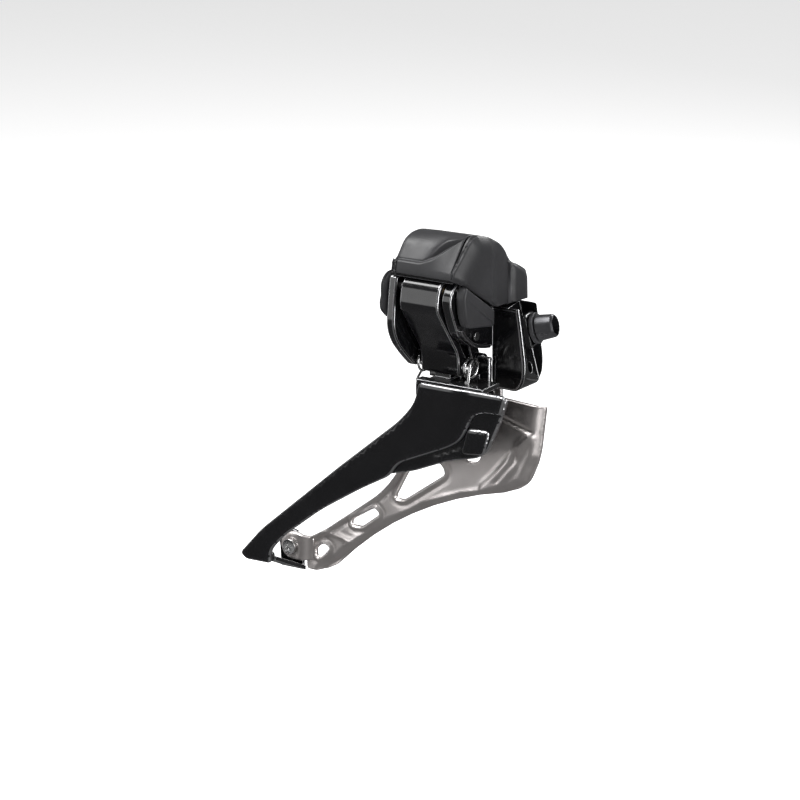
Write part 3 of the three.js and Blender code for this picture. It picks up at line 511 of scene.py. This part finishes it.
def plate_face(x, z, openings):
    """Y of the inner plate's outer face; openings is a list of (outline, height of its rim)."""
    y = INNER_FACE_Y
    # The lower and front edge rolls inward, past a bend that stands a little proud.
    y += LIP_DEPTH * (1 - smooth_step(distance_to(LIP_LINE, x, z), 0.0, LIP_WIDTH))
    for line, width, height in PLATE_RIDGES:
        y -= ridge(distance_to(line, x, z), width, height)
    y += ridge(distance_to(FRONT_FOLD, x, z), FOLD_WIDTH, FOLD_DEPTH)
    # A groove runs beside the raised rim of the rear edge and of the openings.
    to_rear = distance_to(REAR_RIM, x, z)
    y -= ridge(to_rear - 0.5, 0.45, 0.6)
    y += ridge(to_rear - 1.7, GROOVE_WIDTH, GROOVE_DEPTH)
    for hole, swell in openings:
        to_hole = distance_to(hole, x, z, True)
        y -= ridge(to_hole - 0.6, RIM_WIDTH, swell)
        y += ridge(to_hole - GROOVE_OFFSET, GROOVE_WIDTH, GROOVE_DEPTH)
    across = (x - POCKET_AT[0]) / POCKET_SIZE[0]
    up = (z - POCKET_AT[1]) / POCKET_SIZE[1]
    y += POCKET_DEPTH * exp(-across ** 2 - up ** 2)
    return max(PLATE_RANGE_Y[0], min(y, PLATE_RANGE_Y[1]))


def inner_plate(materials):
    """The pressed inner plate, bright nickel, with its openings."""
    window = rounded(INNER_WINDOW)
    slot = rounded(INNER_SLOT)
    eye = rounded(INNER_EYE)
    holes = [window, slot, eye, circle(ROUND_HOLE, ROUND_HOLE_RADIUS, 28)]
    openings = [(window, 0.65), (slot, 0.5), (eye, 0.55)]
    plate = sheet("inner_plate_pressed", inner_outline(), holes, lambda x, z: plate_face(x, z, openings),
                  PLATE_THICKNESS, "cage", materials["nickel"], PLATE_STEP)
    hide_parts("inner_plate")


EAR_FACE_Y = -13.9
EAR_OUTLINE = [
    (-73.9, -69.6, 2), (-71.6, -70.6, 3), (-64.6, -70.3, 0.5), (-64.6, -63.5, 0.5), (-70.4, -62.0, 3),
    (-73.6, -62.8, 3), (-75.4, -66.2, 3),
]


def ear_face(x, z):
    """Flat around the screw, with a fine ring, then stepping inward to the plate."""
    around = hypot(x - SCREW_AT[0], z - SCREW_AT[1])
    return EAR_FACE_Y - ridge(around - 2.9, 0.5, 0.12) + 1.6 * smooth_step(x, -67.8, -65.2)


def inner_plate_ear(materials):
    """The rounded ear behind the inner plate that takes the tail screw."""
    bore = circle(SCREW_AT, SCREW_BORE_RADIUS, 20)
    nickel = materials["nickel"]
    ear = sheet("inner_plate_ear", rounded(EAR_OUTLINE), [bore], ear_face, 1.2, "cage", nickel, 0.7)
    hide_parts("inner_plate")


BLADE_FACE_Y = -25.0
BLADE_OUTLINE = [
    (-79.9, -69.0, 1), (-71.5, -68.9, 0.5), (-71.3, -64.9, 3), (-66.5, -59.6, 4), (-54.0, -49.8, 6),
    (-40.0, -41.0, 6), (-30.2, -35.6, 3), (-27.2, -31.2, 3), (-10.4, -23.9, 4), (-6.2, -21.2, 3),
    (-2.8, -13.6, 4), (1.0, -12.1, 3), (6.2, -12.1, 0.6), (7.8, -6.6, 0.8), (-20.2, -6.4, 1.2),
    (-21.6, -12.6, 5), (-26.4, -18.4, 6), (-46.8, -35.2, 4), (-74.4, -58.9, 4), (-82.0, -67.4, 1.2),
]
BLADE_FACET = [(-10.4, -22.6), (-6.8, -19.8), (-4.2, -12.6), (-1.8, -9.6)]
GUIDE_FACE_Y = -23.5
GUIDE_OUTLINE = [
    (-31.0, -35.4, 1), (-22.8, -33.2, 4), (-11.0, -28.2, 4), (-1.6, -26.0, 2), (1.6, -23.6, 2),
    (5.6, -13.8, 3), (7.4, -8.0, 0.6), (-19.0, -8.0, 0.6), (-26.0, -19.6, 3), (-43.0, -36.0, 3),
    (-40, -38.6, 2),
]
GUIDE_RIDGE = [(-16.0, -29.2), (-8.6, -26.0), (-6.6, -25.0)]
PAD_FACE_Y = -24.3
FOOT_FACE_Y = -23.6
PAD_OUTLINE = [(-6.6, -25.4, 1), (0.8, -24.6, 1), (2.8, -17.4, 1), (-4.4, -17.6, 1)]
TAIL_FOOT = [(-80.0, -69.0, 1), (-71.6, -68.9, 0.5), (-71.6, -66.4, 0.5), (-79.0, -64.6, 2)]


def blade_face(x, z):
    """Y of the blade's face: slightly crowned across its height, and dished above the pad."""
    y = BLADE_FACE_Y
    y += 0.0012 * (z + 30 - 0.8 * (x + 25))
    y += 0.5 * smooth_step(x, -9.5, -3.5) * smooth_step(z, -26, -12)
    y -= ridge(distance_to(BLADE_FACET, x, z), 0.6, 0.12)
    return y


def guide_face(x, z):
    """Y of the chain guide's face: a low ridge under the pad, and a front edge that turns inward."""
    y = GUIDE_FACE_Y
    y -= ridge(distance_to(GUIDE_RIDGE, x, z), 0.8, 0.3)
    y += 0.35 * smooth_step(x, 1.0, 5.0)
    return y


def outer_plate(materials):
    """The raised blade, the chain guide behind it, the pad that stiffens the front and the tail foot."""
    black = materials["black_alloy"]
    # Pale metal on the rims of blade, guide and pad: partly polish, partly a painted edge highlight.
    rim_polish_and_highlight = materials["polish_and_rim_highlight"]
    pieces = [
        sheet("blade", rounded(BLADE_OUTLINE), [], blade_face, 1.3, "cage", black, 1.2, 0.45, rim_polish_and_highlight),
        sheet("chain_guide", rounded(GUIDE_OUTLINE), [], guide_face, 1.6, "cage", black, 1.2, 0.5, rim_polish_and_highlight),
        sheet("guide_pad", rounded(PAD_OUTLINE), [], lambda x, z: PAD_FACE_Y, 1.0, "cage", black, 0.8, 0.5,
              rim_polish_and_highlight),
        sheet("blade_foot", rounded(TAIL_FOOT), [], lambda x, z: FOOT_FACE_Y, 1.7, "cage", black, 1.0, 0.2),
    ]
    for piece in pieces:
        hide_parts("outer_plate")


# ---------------------------------------------------------------- covers

REAR_COVER_X = (-26.4, -8.2)    # rear end and split
LEDGE_REAR_X = -27.8
LEDGE_TOP_Z = 28.4
COVER_MIDDLE_Y = -15.0
FRONT_COVER_X = (-7.85, -3.7)   # split and foremost plane
SHOULDER_REAR_X = -11.4
DECK_Z = 24.9                   # underside of both covers, on the case
COVER_WALL = 1.0
SHOULDER_WALL = 0.5
SKIRT_Y = -27.6
# Where the crease between skirt and scoop runs [x, y, z].
CREASE_PATH = [(-26.4, -26.9, 28.4), (-18.5, -26.9, 28.4), (-15.0, -26.0, 29.8), (-11.0, -23.2, 32.9),
               (-8.2, -20.0, 35.2)]


def along(path, x):
    """Linear interpolation of a path of (x, y, z) at a given x."""
    if x <= path[0][0]:
        return path[0][1:]
    for (x0, y0, z0), (x1, y1, z1) in zip(path, path[1:]):
        if x <= x1:
            t = (x - x0) / (x1 - x0)
            return y0 + (y1 - y0) * t, z0 + (z1 - z0) * t
    return path[-1][1:]


def corner_rounded(points, count=6):
    """Like rounded(), but every corner gives the same number of points, so that sections can be skinned."""
    outline = []
    for index, (y, z, radius) in enumerate(points):
        here = Vector((y, z))
        before = Vector(points[index - 1][:2])
        after = Vector(points[(index + 1) % len(points)][:2])
        reach = min(radius, 0.49 * (before - here).length, 0.49 * (after - here).length)
        start = here + (before - here).normalized() * reach
        end = here + (after - here).normalized() * reach
        for k in range(count):
            t = k / (count - 1)
            point = start.lerp(here, t).lerp(here.lerp(end, t), t)
            outline.append((point.x, point.y))
    return outline


def inward(outline, amount):
    """The outline moved inward along its own normals, for a counter-clockwise or clockwise loop alike."""
    turn = sum(a[0] * b[1] - b[0] * a[1] for a, b in zip(outline, outline[1:] + outline[:1]))
    sign = 1 if turn > 0 else -1
    moved = []
    for index, (y, z) in enumerate(outline):
        before = Vector(outline[index - 3])
        after = Vector(outline[(index + 3) % len(outline)])
        along_edge = (after - before).normalized()
        moved.append((y - sign * along_edge.y * amount, z + sign * along_edge.x * amount))
    return moved


def rear_cover_section(x):
    """Outer skin of the rear cover at one x: skirt, crease with a scoop above it, and dome [y, z]."""
    crease_y, crease_z = along(CREASE_PATH, x)
    towards_split = smooth_step(x, -19, REAR_COVER_X[1])
    scoop = 1.25 - 1.05 * smooth_step(x, -13, REAR_COVER_X[1])
    wall = 0.4 + 2.4 * exp(-((x + 13.0) / 3.2) ** 2)
    top = 35.7 - 1.0 * smooth_step(-x, 8, 27)
    shoulder_y = max(-21.6 + 1.4 * towards_split, crease_y + scoop + 0.8)
    shoulder_z = min(max(33.6 + 1.2 * towards_split, crease_z + wall + 0.5), top - 0.2)
    return corner_rounded([
        (SKIRT_Y, DECK_Z, 0.3),
        (SKIRT_Y + 0.1, min(26.6, crease_z - 1.0), 1.2),
        (crease_y, crease_z, 0.5),
        (crease_y + scoop, crease_z + 0.25 * scoop, 0.6),
        (crease_y + scoop + 0.15, min(crease_z + 0.25 * scoop + wall, top - 0.5), 1.2),
        (shoulder_y, shoulder_z, 2.0),
        (-17.2, top + 0.3, 2.5),
        (-12.0, min(34.9, top), 3.5),
        (-6.8, min(32.0, top - 1.0), 3.0),
        (-3.6, 29.0, 2.0),
        (-1.9, 25.6, 0.6),
        (-1.9, DECK_Z, 0.2),
    ])


def hollowed(piece, mouth, thickness=COVER_WALL):
    """Opens the skin where mouth(centre) says so and gives it the thickness of a moulding."""
    mesh = bmesh.new()
    mesh.from_mesh(piece.data)
    doomed = [face for face in mesh.faces if mouth(face.calc_center_median() / MM)]
    bmesh.ops.delete(mesh, geom=doomed, context="FACES")
    bmesh.ops.recalc_face_normals(mesh, faces=mesh.faces)
    mesh.to_mesh(piece.data)
    mesh.free()
    wall = piece.modifiers.new("wall", "SOLIDIFY")
    wall.thickness = thickness * MM
    wall.offset = -1
    return piece


def ledge_sections():
    """The step that stands behind the dome, with its rounded rear edge."""
    first = REAR_COVER_X[0]
    sections = []
    for back, inset in ((0.0, 1.3), (0.1, 0.7), (0.4, 0.25), (0.9, 0.0)):
        narrower = 1 - inset / 12.5
        section = []
        for y, z in rear_cover_section(first):
            y_in = COVER_MIDDLE_Y + (y - COVER_MIDDLE_Y) * narrower
            section.append((LEDGE_REAR_X + back, y_in, min(z, LEDGE_TOP_Z - 0.5 * inset)))
        sections.append(section)
    return sections


def dome_sections():
    """From the dome's rounded rear end to the split; below the ledge's top the skin stays where it is."""
    first, last = REAR_COVER_X
    stations = [(first - 0.9, 1.1), (first - 0.85, 0.7), (first - 0.6, 0.3), (first - 0.1, 0.08)]
    stations += [(first + 0.8, 0)]
    stations += [(first + 1.8 + (last - first - 2.2) * k / 22, 0) for k in range(23)]
    stations += [(last - 0.15, 0), (last, 0.2)]
    sections = []
    for x, inset in stations:
        outline = rear_cover_section(x)
        section = []
        for (y, z), (y_in, z_in) in zip(outline, inward(outline, inset)):
            on_dome = smooth_step(z, LEDGE_TOP_Z - 0.1, LEDGE_TOP_Z + 0.5)
            section.append((x, y + (y_in - y) * on_dome, max(DECK_Z, z + (z_in - z) * on_dome)))
        sections.append(section)
    return sections


def rear_cover(materials):
    """The moulded rear cover: a hollow skin, open underneath and towards the split."""
    sections = ledge_sections() + dome_sections()
    piece = lofted("rear_cover_moulding", sections, "base", materials["cover_plastic"])
    hollowed(piece, lambda p: p.z < DECK_Z + 0.02 or p.x > REAR_COVER_X[1] - 0.02)
    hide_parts("cover_rear")


# The front face with the shoulder beside the dome, as corners with their radius [y, z, radius].
FRONT_OUTLINE = [
    (-27.4, DECK_Z, 0.3), (-27.4, 26.6, 1.2), (-19.6, 35.0, 2.2), (-17.2, 36.0, 2.5), (-12.0, 34.9, 3.5),
    (-6.8, 32.0, 3.0), (-3.6, 29.0, 2.0), (-1.7, 25.4, 1.2), (0.4, 24.2, 1.0), (4.0, 22.2, 2.0),
    (5.0, 19.8, 1.2), (5.3, 14.0, 0.5), (-9.6, 14.2, 1.4), (-24.9, 23.6, 0.8),
]
SHOULDER_OUTLINE = [
    (-3.4, 14.0, 0.3), (5.3, 14.0, 0.5), (5.0, 19.8, 1.2), (4.0, 22.2, 2.0), (0.4, 24.2, 1.0),
    (-3.4, 26.3, 0.5),
]
DOME_LINE = [
    (-27.4, 24.0), (-27.4, 26.6), (-19.6, 35.0), (-17.2, 36.0), (-12.0, 34.9), (-6.8, 32.0), (-3.6, 29.0),
    (-1.7, 25.4),
]
SHOULDER_LINE = [(-1.7, 25.4), (0.4, 24.2), (4.0, 22.2), (5.0, 19.8), (5.3, 14.0)]
SLOPE_LINE = [(-9.6, 14.2), (-24.9, 23.6), (-27.4, 24.9)]
# How far the front face stands back from its foremost plane, by y.
FRONT_PLAN = [
    (-28, 2.0), (-24, 1.4), (-17, 0.5), (-12.8, 0.0), (-11.0, 0.35), (-4.5, 0.5), (-2.6, 0.5), (-1.6, -0.5),
    (-0.6, -0.9), (5.4, -0.9),
]
PLAN_BLEND = 0.35
ROUNDING_DEPTH = 1.7
ROUNDING_WIDTH = 4.6
FACE_EDGE = 0.2
DOME_END_Y = -1.9


def set_back(y):
    for (y0, back0), (y1, back1) in zip(FRONT_PLAN, FRONT_PLAN[1:]):
        if y <= y1:
            t = max(0.0, (y - y0) / (y1 - y0))
            return back0 + (back1 - back0) * t
    return FRONT_PLAN[-1][1]


def front_face(y, z):
    """X of the front cover's face: broad rounding along the dome, small ones along shoulder and slope."""
    from_dome = distance_to(DOME_LINE, y, z)
    from_slope = distance_to(SLOPE_LINE, y, z)
    from_shoulder = distance_to(SHOULDER_LINE, y, z)
    depth = ROUNDING_DEPTH - 1.2 * smooth_step(y, -14.0, -5.0)
    rounding = depth * (1 - min(1.0, from_dome / ROUNDING_WIDTH)) ** 2
    foot = 0.5 * (1 - smooth_step(from_slope, 0.0, 1.0))
    corner = 0.5 * (1 - min(1.0, from_shoulder / 1.1)) ** 2
    back = 0.5 * (set_back(y - PLAN_BLEND) + set_back(y + PLAN_BLEND))
    return FRONT_COVER_X[1] - back - rounding - foot - corner


def front_band(materials):
    """The band over the dome, from the split to the face; it stops at the shoulder and at the deck."""
    first = FRONT_COVER_X[0]
    hoop = [(min(y, DOME_END_Y), max(z, DECK_Z)) for y, z in corner_rounded(FRONT_OUTLINE)]
    sections = []
    for step in range(9):
        t = step / 8
        sections.append([(first + (front_face(y, z) - FACE_EDGE - first) * t, y, z) for y, z in hoop])
    band = lofted("front_cover_band", sections, "base", materials["cover_plastic"])

    def opening(p):
        """Underneath, towards the split, and the end that the front face closes."""
        return p.z < DECK_Z + 0.02 or p.x < first + 0.02 or distance_to(hoop, p.y, p.z, True) > 1

    return hollowed(band, opening)


def front_panel(materials):
    """The one face that reaches down over the case and across the shoulder."""
    return sheet("front_cover_face", corner_rounded(FRONT_OUTLINE), [], front_face, 1.1, "base",
                 materials["cover_plastic"], 0.7, FACE_EDGE, faces_forward=True)


def shoulder(materials):
    """The block behind the face, beside the dome; its last section meets the rim of the face."""
    outline = corner_rounded(SHOULDER_OUTLINE)
    rear = SHOULDER_REAR_X
    stations = [(rear, 0.9), (rear + 0.2, 0.5), (rear + 0.6, 0.2), (rear + 1.2, 0)]
    stations += [(-8.0, 0), (-6.0, 0), (-4.6, 0)]
    sections = [[(x, y, z) for y, z in inward(outline, inset)] for x, inset in stations]
    sections.append([(front_face(y, z) - FACE_EDGE, y, z) for y, z in outline])
    block = lofted("shoulder_moulding", sections, "base", materials["cover_plastic"])
    return hollowed(block, lambda p: p.z < 14.05 or p.y < -3.35, SHOULDER_WALL)


def front_cover(materials):
    """The front cover: a band over the dome, a face that reaches down and across, and the shoulder."""
    for moulding in (front_band(materials), front_panel(materials), shoulder(materials)):
        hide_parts("cover_front")


# ---------------------------------------------------------------- springs

LOWER_OUTER = (-15.3, -3.0)   # lower pivot of the outer link [y, z]
COIL_RADIUS = 2.75
FRONT_WIRE_RADIUS = 0.48
REAR_WIRE_RADIUS = 0.36
STEPS_PER_TURN = 24


def coil(x_start, turns, pitch):
    """Points of a helix around the lower pivot, starting underneath."""
    y, z = LOWER_OUTER
    path = []
    for k in range(int(turns * STEPS_PER_TURN) + 1):
        angle = -0.5 * pi + 2 * pi * k / STEPS_PER_TURN
        x = x_start + pitch * k / STEPS_PER_TURN
        path.append((x, y + COIL_RADIUS * cos(angle), z + COIL_RADIUS * sin(angle)))
    return path


def springs(materials):
    """The two return springs on the lower pivot, each with one leg that hooks on the cage."""
    bright = materials["bright_steel"]
    y, z = LOWER_OUTER
    front_leg = (-7.8, y - 3.4, z - 4.6)
    front_path = coil(-10.4, 1.75, 1.6) + [front_leg]
    front = wire("spring_front_coil", front_path, FRONT_WIRE_RADIUS, "cage", bright)
    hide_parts("spring_front")
    rear_leg = (-25.15, y - 2.6, z - 4.8)
    rear_path = [rear_leg] + coil(-25.15, 1.25, 0.76)
    rear = wire("spring_rear_coil", rear_path, REAR_WIRE_RADIUS, "cage", bright)
    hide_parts("spring_rear")


# ---------------------------------------------------------------- CAD nodes that stay

# Width of the rounded edges in millimetres; every other node gets the default.
EDGE_WIDTHS = {
    "base_bracket": 0.16,
    "outer_link": 0.17,
    "case_end": 0.3,
    "cage_bridge": 0.2,
    "radius_washer": 0.3,
    "rear_cap": 0.5,
}
DEFAULT_EDGE_WIDTH = 0.12
EDGE_ANGLE = radians(28)
# These nodes get pale metal on their rounded edges: partly polish, partly a painted edge highlight.
POLISH_AND_HIGHLIGHT_NODES = ("base_bracket", "outer_link", "cage_bridge", "inner_link", "tail_bridge")


def soften(obj, width_mm):
    """Rounds the edges of a CAD solid and smooths its shading, without moving its own vertices."""
    mesh = obj.data
    custom = mesh.attributes.get("custom_normal")
    if custom:
        mesh.attributes.remove(custom)
    for polygon in mesh.polygons:
        polygon.use_smooth = True
    weld = obj.modifiers.new("weld", "WELD")
    weld.merge_threshold = 2e-6
    flatten = obj.modifiers.new("flatten", "DECIMATE")
    flatten.decimate_type = "DISSOLVE"
    flatten.angle_limit = radians(0.5)
    bevel = obj.modifiers.new("round", "BEVEL")
    bevel.width = width_mm * MM
    bevel.segments = 2
    bevel.limit_method = "ANGLE"
    bevel.angle_limit = EDGE_ANGLE
    bevel.use_clamp_overlap = False
    shading = obj.modifiers.new("shading", "WEIGHTED_NORMAL")
    shading.keep_sharp = True
    return bevel


def dress_cad_nodes(materials):
    """Gives every CAD node its finish and rounded edges; on some nodes the rounded edges get pale metal,
    partly polish and partly a painted edge highlight.
    """
    for row in frame["record"]["subparts"]:
        obj = nodes[row["node"]]
        obj.data.materials.clear()
        obj.data.materials.append(materials[row["material_slot"]])
        bevel = soften(obj, EDGE_WIDTHS.get(row["node"], DEFAULT_EDGE_WIDTH))
        if row["node"] in POLISH_AND_HIGHLIGHT_NODES:
            obj.data.materials.append(materials["polish_and_rim_highlight"])
            bevel.material = 1


# ---------------------------------------------------------------- stage, lights and camera

def area_light(name, place, aim, size, power):
    """A soft box in metres and watts, turned towards its aim."""
    data = bpy.data.lights.new(name, "AREA")
    data.shape = "RECTANGLE"
    data.size, data.size_y = size
    data.energy = power
    light = bpy.data.objects.new(name, data)
    light.location = place
    light.rotation_euler = (Vector(aim) - Vector(place)).to_track_quat("-Z", "Y").to_euler()
    bpy.context.scene.collection.objects.link(light)


def build_floor():
    """A wide pale floor a little below the part, which hangs in the air."""
    low = cad_box[0][2] - FLOOR_DROP
    floor_mesh = bpy.data.meshes.new("floor")
    mesh = bmesh.new()
    bmesh.ops.create_grid(mesh, x_segments=1, y_segments=1, size=FLOOR_HALF_SIZE)
    bmesh.ops.translate(mesh, verts=mesh.verts, vec=(0, 0, low))
    mesh.to_mesh(floor_mesh)
    mesh.free()
    floor = bpy.data.objects.new("floor", floor_mesh)
    material, tree, shader = new_material("pale_floor")
    pale = tint(tree, noise(tree, 4), (0.93, 0.93, 0.93), (0.95, 0.95, 0.95))
    tree.links.new(pale, shader.inputs["Base Color"])
    shader.inputs["Roughness"].default_value = 0.9
    shader.inputs["Emission Color"].default_value = (1, 1, 1, 1)
    shader.inputs["Emission Strength"].default_value = FLOOR_GLOW
    floor_mesh.materials.append(material)
    floor.visible_glossy = False
    bpy.context.scene.collection.objects.link(floor)


def build_world():
    """A white backdrop for the camera that lights the part only faintly."""
    world = bpy.data.worlds.new("studio")
    world.use_nodes = True
    tree = world.node_tree
    sky = tree.nodes["Background"]
    sky.inputs["Color"].default_value = (1, 1, 1, 1)
    path = tree.nodes.new("ShaderNodeLightPath")
    level = tree.nodes.new("ShaderNodeMapRange")
    level.inputs["To Min"].default_value = AMBIENT_LEVEL
    level.inputs["To Max"].default_value = BACKDROP_LEVEL
    tree.links.new(path.outputs["Is Camera Ray"], level.inputs["Value"])
    tree.links.new(level.outputs["Result"], sky.inputs["Strength"])
    bpy.context.scene.world = world


def build_lights():
    area_light("top_box", (-0.25, -0.15, 0.55), (0, 0, 0), (0.5, 0.35), 6.5)
    area_light("front_strip", (0.60, -0.10, 0.10), (0, 0, -0.02), (0.16, 0.7), 3.5)
    area_light("left_box", (-0.45, -0.60, 0.12), (-0.02, 0, -0.02), (0.25, 0.5), 1.0)
    area_light("back_rim", (0.1, 0.6, 0.35), (0, 0, 0), (0.5, 0.2), 4)


def build_camera():
    towards = Vector((
        sin(VIEW_AZIMUTH) * cos(VIEW_ELEVATION),
        -cos(VIEW_AZIMUTH) * cos(VIEW_ELEVATION),
        sin(VIEW_ELEVATION),
    ))
    data = bpy.data.cameras.new("camera")
    data.lens = LENS
    data.sensor_width = SENSOR_WIDTH
    data.clip_end = 50
    camera = bpy.data.objects.new("camera", data)
    camera.location = AIM + towards * VIEW_DISTANCE
    camera.rotation_euler = (-towards).to_track_quat("-Z", "Y").to_euler()
    bpy.context.scene.collection.objects.link(camera)
    bpy.context.scene.camera = camera


build_camera()
materials = make_materials()
dress_cad_nodes(materials)
inner_plate(materials)
inner_plate_ear(materials)
outer_plate(materials)
rear_cover(materials)
front_cover(materials)
springs(materials)
build_floor()
build_world()
build_lights()
bpy.context.scene.view_settings.view_transform = "Standard"
